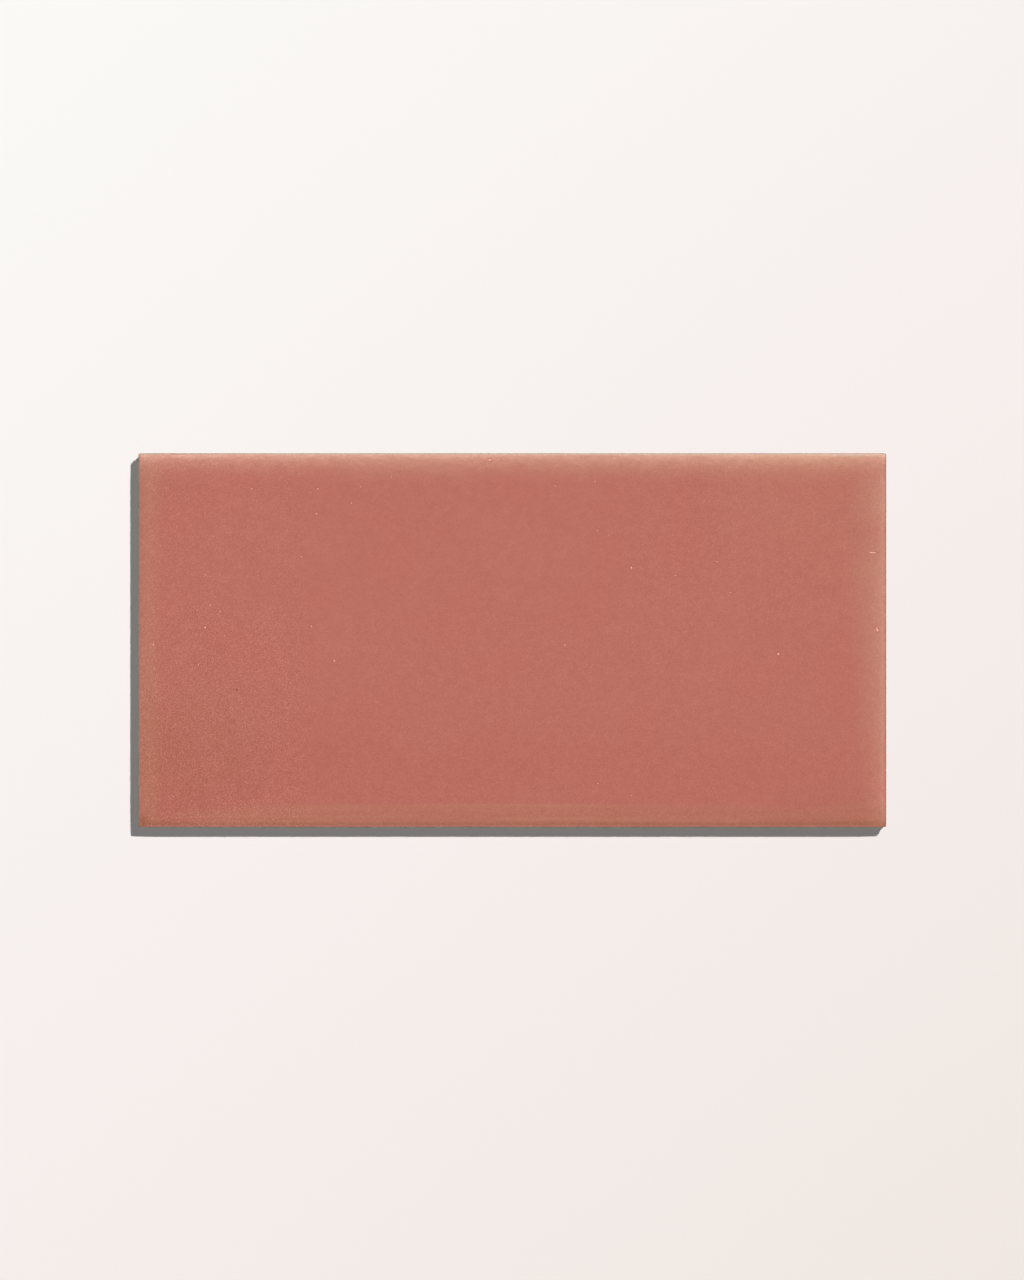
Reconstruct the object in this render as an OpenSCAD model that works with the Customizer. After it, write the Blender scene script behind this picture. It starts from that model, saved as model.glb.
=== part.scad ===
// Glazed ceramic brick tile: one pressed and fired piece, lying on its back with the glazed face up.
// Millimetres. X runs along the length, Z is up out of the glazed face, and the origin is at the
// centre of the back.

/* [Tile] */
// Length of the tile between its two end faces
tile_length = 150; // [80:1:300]
// Width of the tile between its two long faces
tile_width = 75; // [50:1:150]
// Thickness from the back to the middle of the glazed face
tile_thickness = 9; // [6:0.5:16]
// Radius of the four upright corners
corner_radius = 0.3; // [0.2:0.1:2]

/* [Glazed face] */
// Width of the band in which the face rolls down towards each edge
roll_width = 6; // [3:0.5:12]
// Drop of the face across that band
roll_drop = 0.5; // [0.2:0.1:1.2]
// Radius of the arris, which rounds the face into the sides
arris_radius = 0.2; // [0.2:0.1:2]

/* [Back] */
// Chamfer that runs round the back
back_chamfer = 0.8; // [0.3:0.1:1.5]
// Flat border of the back, from the side faces to the keying grooves
border_width = 5; // [3:0.5:12]
// Width of each keying groove
groove_width = 4.5; // [2:0.5:8]
// Least width of the rib between two grooves
rib_width = 2; // [1:0.5:5]
// Depth of the keying grooves
groove_depth = 0.7; // [0.3:0.1:1.5]
// Radius of the grooves' corners
groove_corner = 0.8; // [0.2:0.1:1]

/* [Hidden] */
$fn = 96;
// Overshoot of each cutting shape past the face that it cuts
cut_clear = 1;

// The roll is an arc that leaves the flat face tangentially and falls roll_drop in roll_width.
roll_radius = (pow(roll_width, 2) + pow(roll_drop, 2)) / (2 * roll_drop);
roll_centre_z = tile_thickness - roll_radius;
// The arris touches the side face and the inside of the roll, so its centre is fixed by both.
arris_centre_z = roll_centre_z + sqrt(pow(roll_radius - arris_radius, 2) - pow(roll_width - arris_radius, 2));
// Distance from the side face to the line where the roll meets the arris
arris_inset = roll_width - (roll_width - arris_radius) * roll_radius / (roll_radius - arris_radius);

// Rectangle with four round corners, centred on the origin
module rounded_rectangle(length, width, radius) {
    square([length, width - 2 * radius], center = true);
    square([length - 2 * radius, width], center = true);
    for (x = [-1, 1], y = [-1, 1])
        translate([x * (length / 2 - radius), y * (width / 2 - radius)]) circle(radius);
}

// One half of the tile's section across a span, from its middle to the side face at +X
module half_section(span) {
    side = span / 2;
    // Straight side, with the chamfer at the back
    polygon([
        [0, 0],
        [side - back_chamfer, 0],
        [side, back_chamfer],
        [side, arris_centre_z],
        [0, arris_centre_z]
    ]);
    translate([0, back_chamfer]) square([side - roll_width, tile_thickness - back_chamfer]);
    intersection() {
        translate([side - roll_width, back_chamfer])
            square([roll_width - arris_inset, tile_thickness - back_chamfer]);
        translate([side - roll_width, roll_centre_z]) circle(roll_radius, $fn = 360);
    }
    translate([side - arris_radius, arris_centre_z]) circle(arris_radius);
}

// The whole section across a span
module section(span) {
    half_section(span);
    mirror([1, 0]) half_section(span);
}

// The section of one span, drawn out straight along the other
module drawn_section(span, other_span) {
    rotate([90, 0, 0])
        linear_extrude(other_span + 2 * cut_clear, center = true) section(span);
}

// The pressed outside: where the long section, the cross section and the plan outline all meet
module pressed_outside() {
    intersection() {
        drawn_section(tile_length, tile_width);
        rotate([0, 0, 90]) drawn_section(tile_width, tile_length);
        linear_extrude(tile_thickness)
            rounded_rectangle(tile_length, tile_width, corner_radius);
    }
}

// Grooves that key the back into its adhesive, spread evenly between the borders
module keying_grooves() {
    groove_length = tile_length - 2 * border_width;
    field_width = tile_width - 2 * border_width;
    count = floor((field_width + rib_width) / (groove_width + rib_width));
    pitch = count > 1 ? (field_width - groove_width) / (count - 1) : 0;
    for (i = [0 : count - 1])
        translate([0, (i - (count - 1) / 2) * pitch, -cut_clear])
            linear_extrude(groove_depth + cut_clear)
                rounded_rectangle(groove_length, groove_width, groove_corner);
}

module brick_tile() {
    color([0.73, 0.44, 0.39])
        difference() {
            pressed_outside();
            keying_grooves();
        }
}

brick_tile();
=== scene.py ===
"""Looks of the glazed ceramic brick tile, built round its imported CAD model.

All lengths are in metres, in the frame of the CAD model: X runs along the tile, Y across it,
and Z is up out of the glazed face. "Inset" is the distance in from the tile's outline, seen
from above, and "offset" is the distance in from the outline to a row of points on a side.
"""

import math

import bmesh
import bpy
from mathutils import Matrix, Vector, noise
from mathutils.geometry import delaunay_2d_cdt


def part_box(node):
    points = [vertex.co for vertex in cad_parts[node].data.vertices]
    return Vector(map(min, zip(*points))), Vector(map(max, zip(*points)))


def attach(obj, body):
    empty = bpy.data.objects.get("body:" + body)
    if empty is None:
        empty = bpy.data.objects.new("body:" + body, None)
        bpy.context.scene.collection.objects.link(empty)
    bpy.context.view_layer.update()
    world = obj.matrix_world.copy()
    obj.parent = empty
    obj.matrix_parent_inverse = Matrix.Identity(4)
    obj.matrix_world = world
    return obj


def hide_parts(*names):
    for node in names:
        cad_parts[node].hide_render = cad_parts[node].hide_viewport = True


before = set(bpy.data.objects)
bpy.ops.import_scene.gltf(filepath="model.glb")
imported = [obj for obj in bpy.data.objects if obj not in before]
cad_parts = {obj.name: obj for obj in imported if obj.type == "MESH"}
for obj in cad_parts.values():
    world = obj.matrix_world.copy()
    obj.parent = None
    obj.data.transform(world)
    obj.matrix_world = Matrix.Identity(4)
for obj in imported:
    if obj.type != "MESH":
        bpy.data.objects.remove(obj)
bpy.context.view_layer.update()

MM = 0.001
NODE = "brick_tile"
low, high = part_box(NODE)
HALF_LENGTH = (high.x - low.x) / 2
HALF_WIDTH = (high.y - low.y) / 2
THICKNESS = high.z - low.z

# Section of the glazed face: a shallow roll that ends in a small arris, with a shoulder of glaze before it
ROLL_WIDTH = 6 * MM
ROLL_DROP = 0.5 * MM
ROLL_RADIUS = (ROLL_WIDTH**2 + ROLL_DROP**2) / (2 * ROLL_DROP)
SHOULDER_WIDTH = 1.3 * MM
SHOULDER_SLOPES = {"right": 0.06, "left": 0.12, "far": 0.02, "near": 0.25}
ARRIS_RADIUS = 0.2 * MM
CORNER_RADIUS = 0.3 * MM

# Sides: offsets of the bare clay and of the glaze where it is hollow, and the height of the glaze's lip
BODY_OFFSET = 0.20 * MM
GLAZE_OFFSET = 0.07 * MM
LIP_HEIGHT = 5.6 * MM

# Back: a chamfer with softened edges, and grooves inside a border
BACK_CHAMFER = 0.8 * MM
EDGE_SOFTNESS = 0.12 * MM
SMALLEST_RADIUS = 0.1 * MM
BORDER = 5 * MM
GROOVE_COUNT = 10
GROOVE_WIDTH = 4.5 * MM
GROOVE_DEPTH = 0.7 * MM
GROOVE_CORNER = 0.8 * MM

# Rows of the face's grid, from the outline inwards: over the arris, the shoulder and the roll, which has
# more along the near edge for its ridges and streaks, and the spacing on the flat
ARRIS_STEPS = 4
SHOULDER_STEPS = 7
ROLL_STEPS = 10
NEAR_ROLL_STEPS = 30
FLAT_SPACING = 0.8 * MM

# Points this near each other are joined
JOIN_DISTANCE = 0.004 * MM
# Flat outlines are filled in mm, with this tolerance, by the triangles that lie inside
PLAN_SCALE = 1000
PLAN_TOLERANCE = 1e-6
TRIANGLES_INSIDE = 1


# ---------------------------------------------------------------- helpers


def smoothstep(edge0, edge1, value):
    """0 at edge0, 1 at edge1, and a smooth S between them."""
    share = min(max((value - edge0) / (edge1 - edge0), 0.0), 1.0)
    return share * share * (3 - 2 * share)


def between(stops, place):
    """The value at a place along a list of (place, value) stops, straight between them."""
    for (before, low_value), (after, high_value) in zip(stops, stops[1:]):
        if place < after:
            return low_value + (high_value - low_value) * max(place - before, 0) / (after - before)
    return stops[-1][1]


def steps(start, end, count):
    """count values from just past start up to end, evenly spaced."""
    return [start + (end - start) * (k + 1) / count for k in range(count)]


def stretch(start, end, fade, place):
    """1 from start to end and 0 beyond them, with a smooth fade centred on each."""
    return smoothstep(start - fade, start + fade, place) * smoothstep(end + fade, end - fade, place)


def ripple(x, y, wavelength, seed):
    """Smooth noise from about -1 to 1 over the plan."""
    return noise.noise(Vector((x / wavelength, y / wavelength, seed)))


def waves(x, y, layers):
    """The sum of some ripples, given as height, wavelength and seed."""
    return sum(height * ripple(x, y, wavelength, seed) for height, wavelength, seed in layers)


class Skin:
    """The tile's surface while it is put together: points with their masks, and faces."""

    MASKS = ("bare", "thin", "deep", "brown_and_shade", "coarse", "worn_and_sheen", "pale_glint_and_rim_shade", "dark")

    def __init__(self):
        self.points = []
        self.masks = {name: [] for name in self.MASKS}
        self.faces = []
        self.flat = []

    def point(self, x, y, z, **masks):
        """Adds a point, whose other masks are 0, and returns its index."""
        self.points.append((x, y, z))
        for name in self.MASKS:
            self.masks[name].append(masks.get(name, 0.0))
        return len(self.points) - 1

    def face(self, corners, flat=False):
        """Adds a face, which is shaded smoothly unless it is flat."""
        self.faces.append(tuple(corners))
        self.flat.append(flat)

    def band(self, upper, lower):
        """Quads between two closed loops of equally many points."""
        for k in range(len(upper)):
            after = (k + 1) % len(upper)
            self.face((upper[k], upper[after], lower[after], lower[k]))

    def patch(self, border, holes, flat=False):
        """Triangles that fill the border and leave out the holes."""
        loops = [border, *holes]
        indices = [i for loop in loops for i in loop]
        place = {index: k for k, index in enumerate(indices)}
        plan = [Vector(self.points[i][:2]) * PLAN_SCALE for i in indices]
        edges = [
            (place[loop[k]], place[loop[(k + 1) % len(loop)]])
            for loop in loops
            for k in range(len(loop))
        ]
        filled = delaunay_2d_cdt(plan, edges, [], TRIANGLES_INSIDE, PLAN_TOLERANCE)
        triangles, origins = filled[2], filled[3]
        in_hole = [{place[i] for i in hole} for hole in holes]
        for triangle in triangles:
            corners = [origins[k][0] for k in triangle]
            if any(hole.issuperset(corners) for hole in in_hole):
                continue
            self.face([indices[k] for k in corners], flat)

    def object(self, name):
        """The skin as an object, with coincident points joined and every face turned outwards."""
        mesh = bpy.data.meshes.new(name)
        mesh.from_pydata(self.points, [], self.faces)
        mesh.polygons.foreach_set("use_smooth", [not flat for flat in self.flat])
        for mask, values in self.masks.items():
            mesh.attributes.new(mask, "FLOAT", "POINT").data.foreach_set("value", values)
        work = bmesh.new()
        work.from_mesh(mesh)
        bmesh.ops.remove_doubles(work, verts=work.verts, dist=JOIN_DISTANCE)
        bmesh.ops.recalc_face_normals(work, faces=work.faces)
        work.to_mesh(mesh)
        work.free()
        piece = bpy.data.objects.new(name, mesh)
        bpy.context.scene.collection.objects.link(piece)
        return piece


# ---------------------------------------------------------------- glazed face

# The arris's circle touches the roll's circle from inside
ARRIS_INSET = ARRIS_RADIUS - ARRIS_RADIUS * (ROLL_WIDTH - ARRIS_RADIUS) / (ROLL_RADIUS - ARRIS_RADIUS)


def edge_distances(x, y):
    """Distance of a point from the line of each edge."""
    return {
        "right": HALF_LENGTH - x,
        "left": HALF_LENGTH + x,
        "far": HALF_WIDTH - y,
        "near": HALF_WIDTH + y,
    }


def inset_of(x, y):
    """Inset of a point from the rounded outline."""
    across = abs(x) - (HALF_LENGTH - CORNER_RADIUS)
    along = abs(y) - (HALF_WIDTH - CORNER_RADIUS)
    outside = math.hypot(max(across, 0), max(along, 0))
    return max(CORNER_RADIUS - outside - min(max(across, along), 0), 0)


def roll(distance):
    """Drop of the face at a distance from an edge."""
    run = max(ROLL_WIDTH - distance, 0)
    return ROLL_RADIUS - math.sqrt(ROLL_RADIUS**2 - run**2)


def shoulder(edge, distance):
    """Further drop where the glaze drew back from the arris."""
    return SHOULDER_SLOPES[edge] / SHOULDER_WIDTH * max(SHOULDER_WIDTH - distance, 0) ** 2 / 2


def arris(inset):
    """Further drop round the arris, below the roll that it touches."""
    if inset >= ARRIS_INSET:
        return 0
    centre = ROLL_RADIUS - math.sqrt(
        (ROLL_RADIUS - ARRIS_RADIUS) ** 2 - (ROLL_WIDTH - ARRIS_RADIUS) ** 2
    )
    return centre - math.sqrt(max(ARRIS_RADIUS**2 - (ARRIS_RADIUS - inset) ** 2, 0)) - roll(inset)


def section_height(x, y):
    """Height of the face without its unevenness. Towards a corner the two rolls add up."""
    drop = arris(inset_of(x, y))
    for edge, distance in edge_distances(x, y).items():
        drop += roll(distance) + shoulder(edge, distance)
    return THICKNESS - drop


# Low ridges that the glaze left along the near edge: inset, height, half width, and the stretch of X
RIDGES = (
    (4.1 * MM, 0.011 * MM, 0.30 * MM, -32 * MM, 36 * MM),
    (3.3 * MM, 0.005 * MM, 0.25 * MM, -20 * MM, 46 * MM),
    (2.6 * MM, 0.004 * MM, 0.25 * MM, 0 * MM, 60 * MM),
    (1.9 * MM, 0.008 * MM, 0.22 * MM, -62 * MM, -20 * MM),
    (1.6 * MM, 0.010 * MM, 0.20 * MM, -4 * MM, 44 * MM),
)
RIDGE_FADE = 12 * MM
RIDGE_WANDER = 0.25 * MM
RIDGE_WAVELENGTH = 22 * MM


def ridges(x, y):
    """Height of the ridges at a point."""
    inset = HALF_WIDTH + y
    if inset > ROLL_WIDTH:
        return 0
    total = 0
    for place, height, width, start, end in RIDGES:
        wander = RIDGE_WANDER * ripple(x, place, RIDGE_WAVELENGTH, 7.3)
        shape = math.exp(-(((inset - place - wander) / width) ** 2))
        total += height * shape * stretch(start, end, RIDGE_FADE, x)
    return total


# Pinholes and nicks in the glaze, in mm: place, half length and half width, and then the angle of the
# long axis in degrees
PINHOLES = (
    (-52.3, 30.4, 0.16, 0.15, 0),
    (-40.5, 29.6, 0.14, 0.12, 0),
    (-39.0, 30.4, 0.19, 0.19, 0),
    (-30.5, 30.8, 0.14, 0.11, 0),
    (-32.3, 27.6, 0.16, 0.16, 0),
    (-39.3, 25.4, 0.19, 0.15, 30),
    (-50.1, 19.0, 0.10, 0.08, 0),
    (-42.3, 16.8, 0.16, 0.13, 0),
    (-61.6, 13.2, 0.20, 0.08, 0),
    (-60.6, 7.0, 0.21, 0.08, 60),
    (-63.2, 6.0, 0.12, 0.10, 0),
    (-58.6, 5.8, 0.15, 0.14, 0),
    (-61.6, 2.6, 0.23, 0.21, 0),
    (-57.7, 0.9, 0.11, 0.09, 0),
    (-72.0, -0.9, 0.20, 0.18, 0),
    (-40.3, 2.8, 0.18, 0.16, 0),
    (-35.7, -4.1, 0.26, 0.15, 120),
    (-63.0, -4.9, 0.18, 0.08, 90),
    (-24.2, 32.8, 0.11, 0.10, 0),
    (-4.5, 36.2, 0.29, 0.26, 0),
    (-3.2, 36.7, 0.13, 0.12, 0),
    (8.6, 31.0, 0.15, 0.14, 0),
    (16.6, 31.9, 0.12, 0.11, 0),
    (17.1, 22.0, 0.14, 0.13, 0),
    (19.3, 21.0, 0.10, 0.10, 0),
    (23.9, 14.6, 0.26, 0.21, 100),
    (41.1, 15.8, 0.14, 0.12, 0),
    (32.7, 13.0, 0.20, 0.08, 0),
    (43.8, 9.6, 0.16, 0.13, 0),
    (34.7, 1.7, 0.11, 0.07, 110),
    (34.3, -2.9, 0.11, 0.10, 0),
    (10.5, -0.9, 0.17, 0.15, 0),
    (53.4, -2.7, 0.28, 0.24, 60),
    (72.3, 17.6, 0.74, 0.15, 0),
    (73.2, 2.2, 0.46, 0.24, 120),
    (17.1, -28.7, 0.16, 0.14, 0),
    (23.9, -31.1, 0.17, 0.15, 0),
    (-68.0, -31.3, 0.12, 0.12, 0),
)
# Depth of a pinhole, as a share of its half width
PINHOLE_DEPTH = 0.5
# Specks of iron in the glaze, given in the same way
SPECKS = ((-55.3, -9.9, 0.27, 0.22, 30),)
# Rings of a spot, as shares of its size, with the strength of its mask there, which is below 0 on the
# dark rim of a pinhole, painted shade round the hole; the pale middle is partly a painted highlight
SPOT_RINGS = ((2.0, 0.0), (1.4, -0.15), (1.0, 0.05), (0.65, 0.9))
SPOT_SIDES = 12
# Room that the grid leaves a spot, as a share of its outermost ring
SPOT_ROOM = 1.15

# The uneven lay of the glaze over the face, and the inset over which it sets in
FACE_WAVES = (
    (0.028 * MM, 34 * MM, 1.7),
    (0.016 * MM, 11 * MM, 4.1),
    (0.004 * MM, 3.2 * MM, 8.9),
)
WAVES_FADE = 1 * MM


def face_height(x, y):
    """Height of the glazed face, without its pinholes."""
    unevenness = waves(x, y, FACE_WAVES) + ridges(x, y)
    return section_height(x, y) + smoothstep(0, WAVES_FADE, inset_of(x, y)) * unevenness


# How thin the glaze is at distances in mm from three of the edges
THINNING = {
    "right": ((0.0, 0.38), (0.7, 0.34), (1.0, 0.28), (1.6, 0.33), (4.0, 0.27), (8.5, 0.0)),
    "left": ((0.0, 0.34), (2.4, 0.32), (4.5, 0.08), (6.0, 0.0)),
    "far": ((0.0, 1.0), (0.3, 0.50), (0.8, 0.30), (3.0, 0.15), (6.0, 0.0)),
}
# By how much those distances wander
THINNING_WANDER = ((0.16, 15 * MM, 3.3), (0.07, 4 * MM, 6.1))
# How strongly that holds at places in mm along the far edge, as X, and along the right edge, as Y
FAR_SHARES = (
    (-75, 1.2),
    (-73, 1.0),
    (-69, 0.25),
    (-60, 0.5),
    (-40, 0.9),
    (0, 1.05),
    (30, 1.1),
    (60, 1.6),
    (70, 1.6),
    (74, 0.5),
)
RIGHT_SHARES = (
    (-36, 0.4),
    (-31, 0.2),
    (-24, 0.6),
    (-18, 0.8),
    (6, 1.0),
    (14, 1.0),
    (18, 0.6),
    (22, 0.0),
    (27, 1.1),
    (32, 1.1),
    (33, 0.1),
    (35, 0.1),
)
# How much paler the milky glaze of the right edge looks, and how much of its thinness it hides
MILK_PALENESS = 0.23
MILK_COVER = 0.45
# A broad thin patch in the far right corner: its place, the distances at which it is full and ends,
# and its strength
THIN_PATCH = (64 * MM, 29 * MM)
THIN_PATCH_FULL = 8 * MM
THIN_PATCH_END = 32 * MM
THIN_PATCH_SHARE = 0.09
# How far the glaze of the far arris is worn to the pale body at places in mm along it; towards its right
# corner this paleness is also a painted highlight
FAR_WEAR_AND_SHEEN = (
    (-75, 0.95),
    (-71, 0.40),
    (-64, 0.60),
    (-30, 0.60),
    (0, 0.68),
    (20, 0.76),
    (45, 0.80),
    (62, 0.85),
    (66, 0.78),
    (69.5, 1.0),
    (72, 0.68),
    (75, 0.70),
)
# Insets at which that wear is full and ends, and how much further it reaches at the right corner, where
# it paints a highlight
FAR_WEAR_AND_SHEEN_FULL = 0.14 * MM
FAR_WEAR_AND_SHEEN_END = 0.48 * MM
CORNER_SHEEN_REACH = 0.5 * MM
# How far the left arris is worn
LEFT_WEAR = 0.14

# The thin band along the near edge: places in mm along the tile with the band's width, inner fade
# and strength
NEAR_BAND = (
    (-75, 3.6, 2.4, 0.14),
    (-64, 4.4, 2.0, 0.15),
    (-57, 5.0, 2.4, 0.27),
    (-48, 6.0, 2.6, 0.24),
    (-34, 5.4, 1.4, 0.24),
    (-25, 5.2, 1.6, 0.22),
    (-15, 5.1, 0.7, 0.23),
    (10, 4.9, 0.5, 0.23),
    (20, 4.9, 0.7, 0.16),
    (50, 5.6, 2.0, 0.17),
    (59, 4.6, 2.4, 0.15),
    (75, 7.5, 2.4, 0.18),
)
# Streaks in it where the glaze is thinner still, in mm: inset, half width, start and end along the tile,
# and strength
NEAR_STREAKS = (
    (4.15, 0.30, -14, 22, 0.10),
    (3.55, 0.26, -46, -31, 0.07),
    (2.10, 0.30, -66, -18, 0.17),
    (1.58, 0.26, -2, 28, 0.25),
    (1.20, 0.20, -64, -38, 0.12),
    (1.20, 0.22, 16, 46, 0.15),
)
# Their fade at each end and their wander, in mm
STREAK_FADE = 4
STREAK_WANDER = 0.15
# Mottling of the band, drawn out along the tile
MOTTLE_LENGTH = 26 * MM
MOTTLE_WIDTH = 0.55 * MM
MOTTLE_SHARE = 0.4
# How thin the glaze is on the near arris
NEAR_ARRIS_THINNESS = 0.40


def columns_between(stops, place):
    """The values at a place along a list of (place, value, value ...) stops, straight between them."""
    return [between([(stop[0], stop[k]) for stop in stops], place) for k in range(1, len(stops[0]))]


def near_thinness(x, distance):
    """How thin the glaze is near the near edge, in streaks along it."""
    width, fade, strength = columns_between(NEAR_BAND, x / MM)
    mottle = MOTTLE_SHARE * noise.noise(Vector((x / MOTTLE_LENGTH, distance / MOTTLE_WIDTH, 31.7)))
    total = strength * (1 + mottle) * (1 - smoothstep((width - fade) * MM, width * MM, distance))
    for inset, half_width, start, end, share in NEAR_STREAKS:
        wander = STREAK_WANDER * ripple(x, inset * MM, 14 * MM, 12.5)
        shape = math.exp(-(((distance / MM - inset - wander) / half_width) ** 2))
        total += share * shape * stretch(start, end, STREAK_FADE, x / MM)
    return total + NEAR_ARRIS_THINNESS * smoothstep(0.55 * MM, 0.25 * MM, distance)


def edge_thinness(x, y):
    """How thin the glaze is because of each of the other three edges."""
    distances = edge_distances(x, y)
    scale = MM * (1 + waves(x, y, THINNING_WANDER))
    thins = {edge: between(stops, distances[edge] / scale) for edge, stops in THINNING.items()}
    thins["far"] *= between(FAR_SHARES, x / MM)
    thins["right"] *= between(RIGHT_SHARES, y / MM)
    return thins


def milkiness(y):
    """How milky the thin glaze of the right edge is, from 0 to 1: clear only at its near end."""
    return smoothstep(-26 * MM, -14 * MM, y)


def thinness(x, y):
    """How far the glaze lets the body show through, from 0 to 1."""
    distances = edge_distances(x, y)
    thins = edge_thinness(x, y)
    thins["right"] *= 1 - MILK_COVER * milkiness(y)
    away = math.hypot(x - THIN_PATCH[0], y - THIN_PATCH[1])
    patch = THIN_PATCH_SHARE * smoothstep(THIN_PATCH_END, THIN_PATCH_FULL, away)
    return min(max(*thins.values(), near_thinness(x, distances["near"])) + patch, 1)


def wear_and_sheen(x, y):
    """How pale the glaze is, from 0 to 1.

    It is worn to the pale body along the far arris and a little along the left one, and milky near
    the right edge. Along the far arris, most at its right corner, the paleness is also a painted highlight.
    """
    distances = edge_distances(x, y)
    # Towards the right corner the far arris's paleness is a painted highlight as well as wear
    reach = FAR_WEAR_AND_SHEEN_END + CORNER_SHEEN_REACH * smoothstep(60 * MM, 69 * MM, x)
    far = between(FAR_WEAR_AND_SHEEN, x / MM) * smoothstep(reach, FAR_WEAR_AND_SHEEN_FULL, distances["far"])
    left = LEFT_WEAR * smoothstep(0.35 * MM, 0.10 * MM, distances["left"])
    milky = MILK_PALENESS * edge_thinness(x, y)["right"] * milkiness(y)
    return max(far, left, milky)


# The line inside the near edge, partly brown glaze and partly painted shade where the edge turns away
# from the light: places in mm along the tile with the line's inset, spread and strength, and the strength
# of the stain round it
NEAR_BROWN_AND_SHADE_LINE = (
    (-75, 0.60, 0.50, 0.42, 0.10),
    (-71, 0.85, 0.46, 0.56, 0.08),
    (-66, 0.80, 0.44, 0.48, 0.04),
    (-60, 0.62, 0.34, 0.28, 0.02),
    (-46, 0.66, 0.35, 0.44, 0.08),
    (50, 0.66, 0.35, 0.44, 0.09),
    (60, 0.78, 0.42, 0.48, 0.18),
    (70, 0.80, 0.55, 0.62, 0.18),
    (75, 0.80, 0.60, 0.62, 0.18),
)
# Wander of the line in mm, and the inset at which the stain ends and the width over which it fades
NEAR_BROWN_AND_SHADE_LINE_WANDER = 0.08
STAIN_WIDTH = 4.2 * MM
STAIN_FADE = 1.4 * MM
# Brown lines on three of the edges, which on the left and near edges are also painted shade where those
# edges turn away from the light: strength, and the insets in mm at which they end and are full
ARRIS_LINES = {
    "right": ((0.5, 0.30, 0.05),),
    "left": ((0.30, 0.30, 0.05), (0.12, 1.6, 0.4)),
    "near": ((0.32, 0.45, 0.25),),
}
# Smoky patches: place in mm, reach along X and along Y, and strength
SMOKE = (
    (-65, -22, 24, 20, 0.23),
    (-74.5, -36.8, 2.8, 3.0, 0.75),
    (74, -37, 9, 5, 0.36),
    (64, -34, 18, 10, 0.10),
    (75, 34.6, 3.2, 1.6, 0.45),
)


def brown_and_painted_shade(x, y):
    """How brown the glaze is, from 0 to 1.

    It is brown on the arris, in a line and a stain inside the near edge, and in smoky patches. On the left
    and near arrises and in the line inside the near edge this is also painted shade, where those edges turn
    away from the light.
    """
    distances = edge_distances(x, y)
    # Lines on the arris: brown glaze, and on the left and near edges painted shade as well
    lines = {
        edge: sum(share * smoothstep(end * MM, full * MM, distances[edge]) for share, end, full in parts)
        for edge, parts in ARRIS_LINES.items()
    }
    lines["left"] *= smoothstep(1 * MM, 5 * MM, distances["far"])
    # The line inside the near edge: brown glaze and painted shade where the edge turns from the light
    centre, spread, strength, stain = columns_between(NEAR_BROWN_AND_SHADE_LINE, x / MM)
    centre += NEAR_BROWN_AND_SHADE_LINE_WANDER * ripple(x, 0, 9 * MM, 14.9)
    near_brown_and_shade_line = strength * math.exp(-(((distances["near"] / MM - centre) / spread) ** 2))
    near_brown_and_shade_line += stain * smoothstep(STAIN_WIDTH, STAIN_WIDTH - STAIN_FADE, distances["near"])
    smoke = 0
    for place_x, place_y, reach_x, reach_y, share in SMOKE:
        away = math.hypot((x / MM - place_x) / reach_x, (y / MM - place_y) / reach_y)
        smoke = max(smoke, share * smoothstep(1, 0.15, away))
    smoke *= 1 + 0.5 * ripple(x, y, 6 * MM, 5.7)
    return min(max(*lines.values(), near_brown_and_shade_line, smoke), 1)


def deepness(x, y):
    """How deep the glaze's colour is, from 0 to 1: deeper over the near third, less so at its edge."""
    wandering = y + 4 * MM * ripple(x, y, 20 * MM, 9.4)
    near_third = 0.65 * smoothstep(-8 * MM, -28 * MM, wandering)
    near_edge = 0.20 * smoothstep(-24 * MM, -34 * MM, wandering)
    return near_third - near_edge


def coarseness(x, y):
    """How coarse the glaze's stipple is, from 0 to 1.

    It is coarsest at the near left, and finest in the middle of the far half.
    """
    wander = 1.5 * MM * ripple(x, y, 12 * MM, 2.2)
    left = smoothstep(-39 * MM, -45 * MM, x + wander)
    outer_left = smoothstep(-60 * MM, -70 * MM, x)
    right = smoothstep(20 * MM, 28 * MM, x + wander)
    far_half = max(0.45 * left + 0.2 * outer_left, 0.3 * right)
    near_half = 0.2 + 0.8 * left
    return far_half + (near_half - far_half) * smoothstep(9 * MM, 3 * MM, y + wander)


def glaze_masks(x, y):
    """The masks of a point of the face."""
    return {
        "thin": thinness(x, y),
        "deep": deepness(x, y),
        "brown_and_shade": brown_and_painted_shade(x, y),
        "coarse": coarseness(x, y),
        "worn_and_sheen": wear_and_sheen(x, y),
    }


def plan_point(x, y):
    """A point of the square grid, moved so that the grid's corners follow the round corners."""
    across = abs(x) - (HALF_LENGTH - CORNER_RADIUS)
    along = abs(y) - (HALF_WIDTH - CORNER_RADIUS)
    if min(across, along) <= 0:
        return x, y
    pull = max(across, along) / math.hypot(across, along)
    return (
        math.copysign(HALF_LENGTH - CORNER_RADIUS + across * pull, x),
        math.copysign(HALF_WIDTH - CORNER_RADIUS + along * pull, y),
    )


def edge_insets(roll_steps):
    """Insets of the grid's lines from the outline to the flat of the face."""
    end_angle = math.acos(1 - ARRIS_INSET / ARRIS_RADIUS)
    rounding = [ARRIS_RADIUS * (1 - math.cos(angle)) for angle in steps(0, end_angle, ARRIS_STEPS)]
    shoulder_insets = steps(ARRIS_INSET, SHOULDER_WIDTH, SHOULDER_STEPS)
    return [0.0, *rounding, *shoulder_insets, *steps(SHOULDER_WIDTH, ROLL_WIDTH, roll_steps)]


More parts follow.
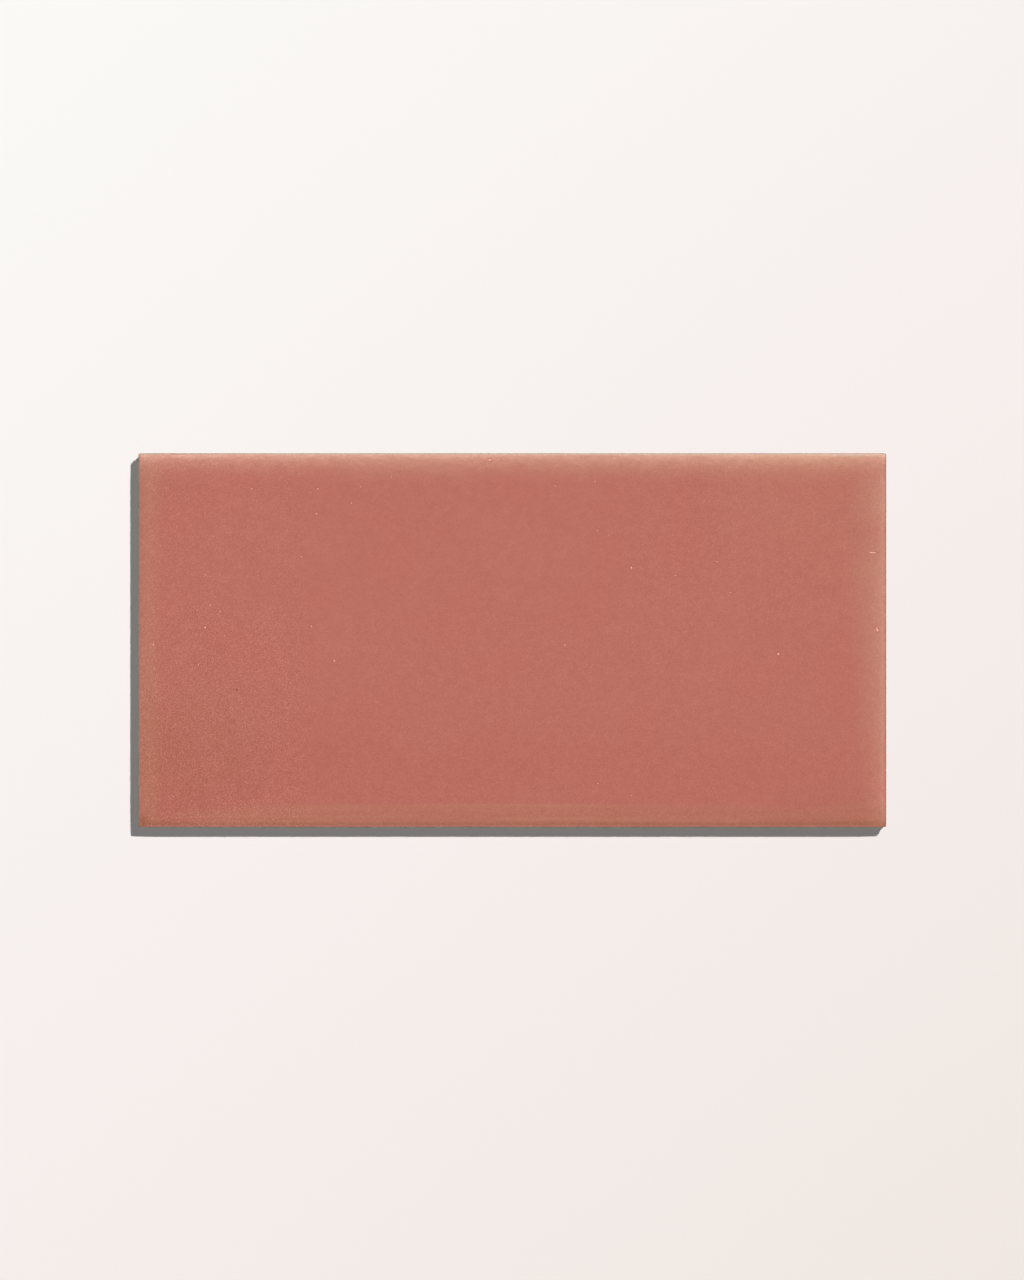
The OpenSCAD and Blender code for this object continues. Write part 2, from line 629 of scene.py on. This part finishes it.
def grid_lines(half, low_insets, high_insets):
    """Places of the grid's lines across the face."""
    flat_width = 2 * half - low_insets[-1] - high_insets[-1]
    count = round(flat_width / FLAT_SPACING)
    low_part = [-half + inset for inset in low_insets]
    flat_part = steps(-half + low_insets[-1], half - high_insets[-1], count)[:-1]
    high_part = [half - inset for inset in reversed(high_insets)]
    return low_part + flat_part + high_part


def lines_round(lines, centre, reach):
    """The nearest of the grid's lines that lie beyond the reach on each side of the centre."""
    below = max(k for k, place in enumerate(lines) if place < centre - reach)
    above = min(k for k, place in enumerate(lines) if place > centre + reach)
    return below, above


def border_points(corner, first, last, bottom, top):
    """The grid's points round a block of its cells, anticlockwise."""
    border = [corner(i, bottom) for i in range(first, last)]
    border += [corner(last, j) for j in range(bottom, top)]
    border += [corner(i, top) for i in range(last, first, -1)]
    border += [corner(first, j) for j in range(top, bottom, -1)]
    return border


def add_spot(skin, corner, xs, ys, taken, spot, mask_name, depth):
    """Sets a pinhole or a speck into the face, as a fan of rings in place of the grid's cells there."""
    centre_x, centre_y, half_length, half_width = (value * MM for value in spot[:4])
    turn = math.radians(spot[4])
    reach = SPOT_RINGS[0][0] * max(half_length, half_width) * SPOT_ROOM
    first, last = lines_round(xs, centre_x, reach)
    bottom, top = lines_round(ys, centre_y, reach)
    cells = {(i, j) for i in range(first, last) for j in range(bottom, top)}
    if cells & taken:
        raise ValueError(f"the spot at {spot[:2]} runs into another")
    taken |= cells
    border = border_points(corner, first, last, bottom, top)

    def spot_point(x, y, share):
        masks = glaze_masks(x, y)
        masks[mask_name] = masks.get(mask_name, 0) + share
        return skin.point(x, y, face_height(x, y) - depth * half_width * max(share, 0), **masks)

    rings = []
    for scale, share in SPOT_RINGS:
        ring = []
        for k in range(SPOT_SIDES):
            angle = 2 * math.pi * k / SPOT_SIDES
            along = scale * half_length * math.cos(angle)
            across = scale * half_width * math.sin(angle)
            x = centre_x + along * math.cos(turn) - across * math.sin(turn)
            y = centre_y + along * math.sin(turn) + across * math.cos(turn)
            ring.append(spot_point(x, y, share))
        rings.append(ring)
    middle = spot_point(centre_x, centre_y, 1.0)
    skin.patch(border, [rings[0]])
    for outer, inner in zip(rings, rings[1:]):
        skin.band(outer, inner)
    for k in range(SPOT_SIDES):
        skin.face((rings[-1][k], rings[-1][(k + 1) % SPOT_SIDES], middle))


def add_face(skin):
    """The glazed face, down to where it turns vertical. Returns its outline's points, anticlockwise."""
    insets = edge_insets(ROLL_STEPS)
    xs = grid_lines(HALF_LENGTH, insets, insets)
    ys = grid_lines(HALF_WIDTH, edge_insets(NEAR_ROLL_STEPS), insets)
    made = {}

    def corner(i, j):
        if (i, j) not in made:
            x, y = plan_point(xs[i], ys[j])
            made[i, j] = skin.point(x, y, face_height(x, y), **glaze_masks(x, y))
        return made[i, j]

    taken = set()
    for spot in PINHOLES:
        # Pinholes: pale body with a painted highlight in the middle, and painted shade round the rim
        add_spot(skin, corner, xs, ys, taken, spot, "pale_glint_and_rim_shade", PINHOLE_DEPTH)
    for spot in SPECKS:
        add_spot(skin, corner, xs, ys, taken, spot, "dark", 0)
    for i in range(len(xs) - 1):
        for j in range(len(ys) - 1):
            if (i, j) not in taken:
                skin.face((corner(i, j), corner(i + 1, j), corner(i + 1, j + 1), corner(i, j + 1)))
    return border_points(corner, 0, len(xs) - 1, 0, len(ys) - 1)


# ---------------------------------------------------------------- sides


def outline_point(x, y, offset):
    """The point of the outline, moved in by offset. Round corners get tighter and stay round."""
    core_x, core_y = HALF_LENGTH - CORNER_RADIUS, HALF_WIDTH - CORNER_RADIUS
    near_x, near_y = min(max(x, -core_x), core_x), min(max(y, -core_y), core_y)
    out_x, out_y = (x - near_x) / CORNER_RADIUS, (y - near_y) / CORNER_RADIUS
    radius = max(CORNER_RADIUS - offset, SMALLEST_RADIUS)
    return (
        near_x * (HALF_LENGTH - offset - radius) / core_x + out_x * radius,
        near_y * (HALF_WIDTH - offset - radius) / core_y + out_y * radius,
    )


# The lip of the glaze: its waves, and the height of the runs that hang from it
LIP_WAVES = ((0.9 * MM, 17 * MM, 11.3), (0.4 * MM, 5 * MM, 2.9))
RUN_HEIGHT = 1.6 * MM
# Rows over the lip: how far above its line, their offset and their bareness
LIP_ROWS = (
    (0.30 * MM, 0.0, 0.0),
    (0.16 * MM, 0.0, 0.0),
    (0.07 * MM, 0.02 * MM, 0.0),
    (0.02 * MM, 0.4 * BODY_OFFSET, 0.05),
    (-0.02 * MM, 0.8 * BODY_OFFSET, 0.7),
    (-0.06 * MM, BODY_OFFSET, 1.0),
    (-0.12 * MM, BODY_OFFSET, 1.0),
)
# Rows round the softened edges of the back's chamfer: how far in from the clay of the sides, and their height
CHAMFER_SLANT = 0.7 * EDGE_SOFTNESS
CHAMFER_ROWS = (
    (0.3 * EDGE_SOFTNESS, BACK_CHAMFER + 0.1 * EDGE_SOFTNESS),
    (CHAMFER_SLANT, BACK_CHAMFER - CHAMFER_SLANT),
    (BACK_CHAMFER - CHAMFER_SLANT, CHAMFER_SLANT),
    (BACK_CHAMFER - 0.1 * EDGE_SOFTNESS, 0.3 * EDGE_SOFTNESS),
    (BACK_CHAMFER + EDGE_SOFTNESS, 0.0),
)
# Rows between those: down the glazed part of a side, and down its bare part
GLAZED_STEPS = 7
BARE_STEPS = 6
# How thin the glaze is at the top of a side, and how much thicker it is at its lip
SIDE_THINNESS = 0.9
LIP_THICKENING = 0.6


def lip_height(x, y):
    """Height of the ragged line down to which the glaze ran over the sides."""
    runs = RUN_HEIGHT * smoothstep(0.25, 0.6, ripple(x, y, 8 * MM, 21.7))
    return LIP_HEIGHT + waves(x, y, LIP_WAVES) - runs


def side_rows(top, lip):
    """Height, offset and bareness of a side's rows from the face, at the top, down to the back."""
    rows = []
    lip_top = lip + LIP_ROWS[0][0]
    for share in steps(0, 1, GLAZED_STEPS)[:-1]:
        hollow = GLAZE_OFFSET * smoothstep(0, 0.35, share) * (1 - smoothstep(0.6, 1, share))
        rows.append((top + (lip_top - top) * share, hollow, 0.0))
    rows += [(lip + rise, offset, bare) for rise, offset, bare in LIP_ROWS]
    lip_foot = lip + LIP_ROWS[-1][0]
    foot = BACK_CHAMFER + EDGE_SOFTNESS
    rows += [(height, BODY_OFFSET, 1.0) for height in steps(lip_foot, foot, BARE_STEPS)]
    rows += [(height, BODY_OFFSET + offset, 1.0) for offset, height in CHAMFER_ROWS]
    return rows


def side_column(plan_x, plan_y, top):
    """The points of a side below a point of the face's outline, each with its bareness and thinness."""
    column = []
    for z, offset, bare in side_rows(top, lip_height(plan_x, plan_y)):
        x, y = outline_point(plan_x, plan_y, offset)
        thin = SIDE_THINNESS - LIP_THICKENING * smoothstep(THICKNESS, LIP_HEIGHT, z)
        column.append((x, y, z, bare, thin))
    return column


def add_sides(skin, outline):
    """The four sides and the chamfer of the back. Returns the loop of points round the back's plane."""
    columns = [side_column(*skin.points[index]) for index in outline]
    above = outline
    for row in zip(*columns):
        loop = [skin.point(x, y, z, bare=bare, thin=thin) for x, y, z, bare, thin in row]
        skin.band(above, loop)
        above = loop
    return above


# ---------------------------------------------------------------- back

# Distance from one groove's middle to the next
GROOVE_PITCH = (2 * HALF_WIDTH - 2 * BORDER - GROOVE_WIDTH) / (GROOVE_COUNT - 1)
# Rows of a groove from its rim to its floor: how far in from the rim, and how high above the back's plane
GROOVE_ROWS = (
    (-0.12 * MM, 0.0),
    (-0.03 * MM, 0.03 * MM),
    (0.03 * MM, 0.12 * MM),
    (0.20 * MM, 0.56 * MM),
    (0.28 * MM, 0.66 * MM),
    (0.42 * MM, GROOVE_DEPTH),
)
GROOVE_CORNER_STEPS = 6


def groove_loop(skin, centre_y, inset, height):
    """A closed loop of points round a groove, anticlockwise."""
    radius = GROOVE_CORNER - inset
    core_x = HALF_LENGTH - BORDER - inset - radius
    core_y = GROOVE_WIDTH / 2 - inset - radius
    loop = []
    for quarter, (side_x, side_y) in enumerate(((1, 1), (-1, 1), (-1, -1), (1, -1))):
        for k in range(GROOVE_CORNER_STEPS + 1):
            angle = math.pi / 2 * (quarter + k / GROOVE_CORNER_STEPS)
            x = side_x * core_x + radius * math.cos(angle)
            y = centre_y + side_y * core_y + radius * math.sin(angle)
            loop.append(skin.point(x, y, height, bare=1.0))
    return loop


def add_back(skin, rim):
    """The plane of the back with its keying grooves."""
    mouths = []
    for k in range(GROOVE_COUNT):
        centre_y = (k - (GROOVE_COUNT - 1) / 2) * GROOVE_PITCH
        loops = [groove_loop(skin, centre_y, inset, height) for inset, height in GROOVE_ROWS]
        for outer, inner in zip(loops, loops[1:]):
            skin.band(outer, inner)
        skin.face(loops[-1], flat=True)
        mouths.append(loops[0])
    skin.patch(rim, mouths, flat=True)


def build_tile():
    """The whole tile as one closed mesh."""
    skin = Skin()
    outline = add_face(skin)
    rim = add_sides(skin, outline)
    add_back(skin, rim)
    return skin.object("glazed_tile")


tile = build_tile()
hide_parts(NODE)
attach(tile, "root")
# The floor beside the tile takes on none of its colour, and keeps its shadow
tile.visible_diffuse = False


# ---------------------------------------------------------------- materials

# The glaze: the two colours that it wanders between, those where its masks are full, and its specks
GLAZE_FULL = (0.458, 0.130, 0.0945)
GLAZE_SMOKY = (0.450, 0.134, 0.0965)
GLAZE_DEEP = (0.437, 0.117, 0.0845)
GLAZE_THIN = (0.483, 0.218, 0.126)
# Brown glaze, which also paints shade along the left and near edges
GLAZE_BROWN_AND_SHADE = (0.314, 0.103, 0.046)
# Worn glaze showing the pale body, which also paints the highlight at the far arris's right corner
GLAZE_WORN_AND_SHEEN = (0.540, 0.340, 0.262)
# Pale colour of the grain and stipple, and of the pinholes, where it is partly a painted highlight
PALE_GRAIN_AND_GLINT = (0.95, 0.39, 0.32)
IRON_DARK = (0.20, 0.05, 0.03)
# The bare clay, where it was fired harder, and its specks
CLAY = (0.62, 0.40, 0.27)
CLAY_DARK = (0.50, 0.30, 0.19)
CLAY_SPECK = (0.22, 0.12, 0.08)

# Noises in the glaze: size of the lumps, detail, and sometimes evenness
SMOKE_NOISE = (12 * MM, 2.0)
CLOUD_NOISE = (13 * MM, 3.0)
FINE_NOISE = (1.2 * MM, 3.0, 0.9)
SATIN_NOISE = (3 * MM, 2.0)
PEEL_NOISE = (2 * MM, 4.0)
# Noises in the clay, given in the same way
FIRING_NOISE = (14 * MM, 4.0)
SPECK_NOISE = (0.7 * MM, 0.0)
CLAY_NOISE = (0.35 * MM, 3.0)
# The values between which nearly all of a noise lies, and those between which a speck of the clay sets in
NOISE_RANGE = (0.3, 0.7)
SPECK_RANGE = (0.70, 0.76)
SPECK_SHARE = 0.6
# Size of the stipple's dots, and the middle of the distances from them, at which the colour stays as it is
STIPPLE_SIZE = 0.26 * MM
STIPPLE_MIDDLE = 0.50
# How far the clouds, the fine noise and the stipple turn the glaze paler or deeper, and how much further
# the stipple does where it is coarsest. The stipple is partly the glaze's speckle and partly painted light
# and shade of its orange peel
CLOUD_SHARE = 0.05
FINE_SHARE = 0.18
STIPPLE_SHARE = 0.17
COARSE_SHARE = 0.34
# Roughness of the satin glaze, which wanders, and of the clay
SATIN_RANGE = (0.24, 0.28)
CLAY_ROUGHNESS = 0.85
# Height of the clay's bump, and the share of it that the glaze's orange peel has
BUMP_HEIGHT = 0.05 * MM
PEEL_SHARE = 0.7
# Index of refraction of the glaze
GLAZE_IOR = 1.5


def add_node(tree, kind, inputs=(), **settings):
    """A node with its settings, and its inputs given as (name or index, value or socket)."""
    made = tree.nodes.new(kind)
    for name, value in settings.items():
        setattr(made, name, value)
    for key, value in inputs:
        if isinstance(value, bpy.types.NodeSocket):
            tree.links.new(value, made.inputs[key])
        else:
            made.inputs[key].default_value = value
    return made


def colour(rgb):
    """An opaque colour."""
    return (*rgb, 1.0)


def mixed(tree, share, first, second):
    """The colour between first and second, or a little outside them."""
    first, second = (c if isinstance(c, bpy.types.NodeSocket) else colour(c) for c in (first, second))
    inputs = ((0, share), (6, first), (7, second))
    return add_node(tree, "ShaderNodeMix", inputs, data_type="RGBA", clamp_factor=False).outputs[2]


def blended(tree, share, first, second):
    """The number between first and second."""
    inputs = ((0, share), (2, first), (3, second))
    return add_node(tree, "ShaderNodeMix", inputs, data_type="FLOAT").outputs[0]


def maths(tree, operation, *values):
    """The result of one Math node."""
    return add_node(tree, "ShaderNodeMath", enumerate(values), operation=operation).outputs[0]


def mask(tree, name):
    """One of the masks that the mesh carries."""
    return add_node(tree, "ShaderNodeAttribute", attribute_name=name).outputs["Fac"]


def grain(tree, place, size, detail, evenness=0.5):
    """Noise from 0 to 1 with lumps of about that size, and finer ones for more detail and evenness."""
    inputs = (("Vector", place), ("Scale", 1 / size), ("Detail", detail), ("Roughness", evenness))
    return add_node(tree, "ShaderNodeTexNoise", inputs).outputs[0]


def ranged(tree, value, start, end, low_value=0.0, high_value=1.0):
    """value mapped from start..end to low_value..high_value, smoothly and clamped."""
    inputs = ((0, value), (1, start), (2, end), (3, low_value), (4, high_value))
    return add_node(tree, "ShaderNodeMapRange", inputs, interpolation_type="SMOOTHSTEP").outputs[0]


def glaze_colour(tree, place, masks):
    """Colour of the glaze by its masks, with its clouds, grain and stipple."""
    smoke = ranged(tree, grain(tree, place, *SMOKE_NOISE), *NOISE_RANGE)
    glaze = mixed(tree, smoke, GLAZE_FULL, GLAZE_SMOKY)
    glaze = mixed(tree, masks["deep"], glaze, GLAZE_DEEP)
    glaze = mixed(tree, masks["thin"], glaze, GLAZE_THIN)
    # Brown glaze, and painted shade along the left and near edges
    glaze = mixed(tree, masks["brown_and_shade"], glaze, GLAZE_BROWN_AND_SHADE)
    # Worn glaze, and a painted highlight along the far arris, most at its right corner
    glaze = mixed(tree, masks["worn_and_sheen"], glaze, GLAZE_WORN_AND_SHEEN)
    clouds = maths(tree, "SUBTRACT", grain(tree, place, *CLOUD_NOISE), 0.5)
    fine = maths(tree, "SUBTRACT", grain(tree, place, *FINE_NOISE), 0.5)
    # Stipple: speckle of the glaze, and painted light and shade of its orange peel, most where it is coarse
    dots = add_node(tree, "ShaderNodeTexVoronoi", (("Vector", place), ("Scale", 1 / STIPPLE_SIZE)))
    stipple = maths(tree, "SUBTRACT", dots.outputs["Distance"], STIPPLE_MIDDLE)
    stipple_share = maths(tree, "MULTIPLY_ADD", masks["coarse"], COARSE_SHARE, STIPPLE_SHARE)
    # The pinholes' pale middles, partly a painted highlight, and the painted shade of their rims
    paler = maths(tree, "MULTIPLY_ADD", clouds, CLOUD_SHARE, masks["pale_glint_and_rim_shade"])
    paler = maths(tree, "MULTIPLY_ADD", fine, FINE_SHARE, paler)
    paler = maths(tree, "MULTIPLY_ADD", stipple, stipple_share, paler)
    glaze = mixed(tree, paler, glaze, PALE_GRAIN_AND_GLINT)
    return mixed(tree, ranged(tree, masks["dark"], 0.0, 0.7), glaze, IRON_DARK)


def clay_colour(tree, place):
    """Colour of the bare clay, darker in places and specked."""
    firing = ranged(tree, grain(tree, place, *FIRING_NOISE), *NOISE_RANGE)
    clay = mixed(tree, firing, CLAY, CLAY_DARK)
    specks = ranged(tree, grain(tree, place, *SPECK_NOISE), *SPECK_RANGE)
    return mixed(tree, maths(tree, "MULTIPLY", specks, SPECK_SHARE), clay, CLAY_SPECK)


def glazed_clay():
    """Satin glaze on a buff clay body, told apart by the mesh's masks."""
    material = bpy.data.materials.new("glazed_clay")
    material.use_nodes = True
    tree = material.node_tree
    shader = tree.nodes["Principled BSDF"]
    place = add_node(tree, "ShaderNodeTexCoord").outputs["Object"]
    masks = {name: mask(tree, name) for name in Skin.MASKS}

    glaze = glaze_colour(tree, place, masks)
    clay = clay_colour(tree, place)
    tree.links.new(mixed(tree, masks["bare"], glaze, clay), shader.inputs["Base Color"])

    satin = ranged(tree, grain(tree, place, *SATIN_NOISE), *NOISE_RANGE, *SATIN_RANGE)
    rough = blended(tree, masks["bare"], satin, CLAY_ROUGHNESS)
    tree.links.new(rough, shader.inputs["Roughness"])

    peel = maths(tree, "MULTIPLY", grain(tree, place, *PEEL_NOISE), PEEL_SHARE)
    height = blended(tree, masks["bare"], peel, grain(tree, place, *CLAY_NOISE))
    bump_inputs = (("Height", height), ("Distance", BUMP_HEIGHT), ("Strength", 1.0))
    bump = add_node(tree, "ShaderNodeBump", bump_inputs)
    tree.links.new(bump.outputs[0], shader.inputs["Normal"])
    shader.inputs["IOR"].default_value = GLAZE_IOR
    return material


tile.data.materials.append(glazed_clay())


# ---------------------------------------------------------------- stage, light and camera

FLOOR_LIGHT = (0.964, 0.954, 0.922)
FLOOR_MIDDLE = (0.928, 0.868, 0.849)
FLOOR_DARK = (0.871, 0.799, 0.760)
# The way in which the floor gets lighter, how far from the middle it is lightest or darkest, and how far
# from there it is back at the middle colour
FLOOR_SLOPE = (-0.62, 0.78, 0.0)
FLOOR_REACH = 0.163
FLOOR_FADE = 0.6
FLOOR_SIZE = 20.0
FLOOR_GAP = 0.05 * MM


def floor_material():
    """Warm white, a little lighter towards the far left and darker towards the near right."""
    material = bpy.data.materials.new("paper")
    material.use_nodes = True
    tree = material.node_tree
    tree.nodes.clear()
    place = add_node(tree, "ShaderNodeTexCoord").outputs["Object"]
    slope = add_node(tree, "ShaderNodeVectorMath", ((0, place), (1, FLOOR_SLOPE)), operation="DOT_PRODUCT")
    share_inputs = ((0, slope.outputs["Value"]), (1, -FLOOR_FADE), (2, FLOOR_FADE))
    share = add_node(tree, "ShaderNodeMapRange", share_inputs).outputs[0]
    ramp = add_node(tree, "ShaderNodeValToRGB", (("Fac", share),))
    stops = ramp.color_ramp.elements
    half = FLOOR_REACH / FLOOR_FADE / 2
    for position, rgb in ((0.5 - half, FLOOR_DARK), (0.5, FLOOR_MIDDLE), (0.5 + half, FLOOR_LIGHT)):
        stops.new(position).color = colour(rgb)
    stops[0].color = stops[-1].color = colour(FLOOR_MIDDLE)
    shader = add_node(tree, "ShaderNodeBsdfDiffuse", (("Color", ramp.outputs[0]),))
    out = add_node(tree, "ShaderNodeOutputMaterial", ((0, shader.outputs[0]),))
    out.is_active_output = True
    return material


def add_floor():
    """A wide floor just under the tile."""
    half = FLOOR_SIZE / 2
    height = low.z - FLOOR_GAP
    corners = [(-half, -half, height), (half, -half, height), (half, half, height), (-half, half, height)]
    mesh = bpy.data.meshes.new("floor")
    mesh.from_pydata(corners, [], [(0, 1, 2, 3)])
    mesh.materials.append(floor_material())
    floor = bpy.data.objects.new("floor", mesh)
    bpy.context.scene.collection.objects.link(floor)


def add_lamp(name, kind, place, target=(0, 0, 0), **settings):
    """A lamp at place that shines towards target."""
    data = bpy.data.lights.new(name, kind)
    for key, value in settings.items():
        setattr(data, key, value)
    lamp = bpy.data.objects.new(name, data)
    lamp.location = place
    lamp.rotation_euler = (Vector(target) - Vector(place)).to_track_quat("-Z", "Y").to_euler()
    bpy.context.scene.collection.objects.link(lamp)
    return lamp


# Shadow of the face's edge on the floor, towards -X and -Y
SHADOW_X = 1.92 * MM
SHADOW_Y = 2.20 * MM
# Shares of the light on the face: their sum is 1, so that colours render as they are written
KEY = 0.786
OVERHEAD = 0.114
FILL = 0.10
# Angles over which the key and the overhead light shine, which soften their shadows
KEY_WIDTH = math.radians(1.5)
OVERHEAD_WIDTH = math.radians(3)
# The softboxes' angle from straight above, their distance, size and power, and the colour of their light
SOFTBOX_LEAN = math.radians(23)
SOFTBOX_DISTANCE = 1.5
SOFTBOX_LENGTH = 2.0
SOFTBOX_WIDTH = 0.16
FAR_POWER = 16.4
RIGHT_POWER = 4.9
SHEEN = (1.0, 0.89, 0.70)


def key_angle():
    """Angle of the key light from straight above."""
    return math.atan(math.hypot(SHADOW_X, SHADOW_Y) / THICKNESS)


def add_lamps():
    """A key light and one from overhead for the colours, and two softboxes for the sheen alone."""
    towards_key = (SHADOW_X / MM, SHADOW_Y / MM, THICKNESS / MM)
    key_power = KEY * math.pi / math.cos(key_angle())
    key = add_lamp("key", "SUN", towards_key, energy=key_power, angle=KEY_WIDTH)
    overhead = add_lamp("overhead", "SUN", (0, 0, 1), energy=OVERHEAD * math.pi, angle=OVERHEAD_WIDTH)
    for lamp in (key, overhead):
        lamp.visible_glossy = False
    reach = SOFTBOX_DISTANCE * math.sin(SOFTBOX_LEAN)
    height = SOFTBOX_DISTANCE * math.cos(SOFTBOX_LEAN)
    box = {"shape": "RECTANGLE", "size": SOFTBOX_LENGTH, "size_y": SOFTBOX_WIDTH, "color": SHEEN}
    far = add_lamp("far_softbox", "AREA", (0, reach, height), energy=FAR_POWER, **box)
    right = add_lamp("right_softbox", "AREA", (reach, 0, height), energy=RIGHT_POWER, **box)
    for lamp in (far, right):
        lamp.visible_diffuse = False


def add_world():
    """A soft even fill that the camera and reflections see as the colour of the floor."""
    world = bpy.data.worlds.new("studio")
    world.use_nodes = True
    tree = world.node_tree
    background = tree.nodes["Background"]
    path = add_node(tree, "ShaderNodeLightPath")
    seen = maths(tree, "MAXIMUM", path.outputs["Is Camera Ray"], path.outputs["Is Glossy Ray"])
    seen = maths(tree, "MAXIMUM", seen, path.outputs["Is Transmission Ray"])
    tree.links.new(mixed(tree, seen, (FILL, FILL, FILL), FLOOR_MIDDLE), background.inputs["Color"])
    bpy.context.scene.world = world


# Focal length and sensor in mm: a lens so long that it looks straight down on all of the face
LENS = 1000
SENSOR = 36
# Height of the picture where it cuts the glazed face, and its centre there
PICTURE_HEIGHT = 256.8 * MM
PICTURE_CENTRE = (-0.08 * MM, 0.04 * MM)


def add_camera():
    """A long lens that looks straight down on the face."""
    data = bpy.data.cameras.new("camera")
    data.lens = LENS
    data.sensor_width = SENSOR
    camera = bpy.data.objects.new("camera", data)
    camera.location = (*PICTURE_CENTRE, THICKNESS + PICTURE_HEIGHT * LENS / SENSOR)
    bpy.context.scene.collection.objects.link(camera)
    bpy.context.scene.camera = camera


add_floor()
add_lamps()
add_world()
add_camera()
bpy.context.scene.view_settings.view_transform = "Standard"
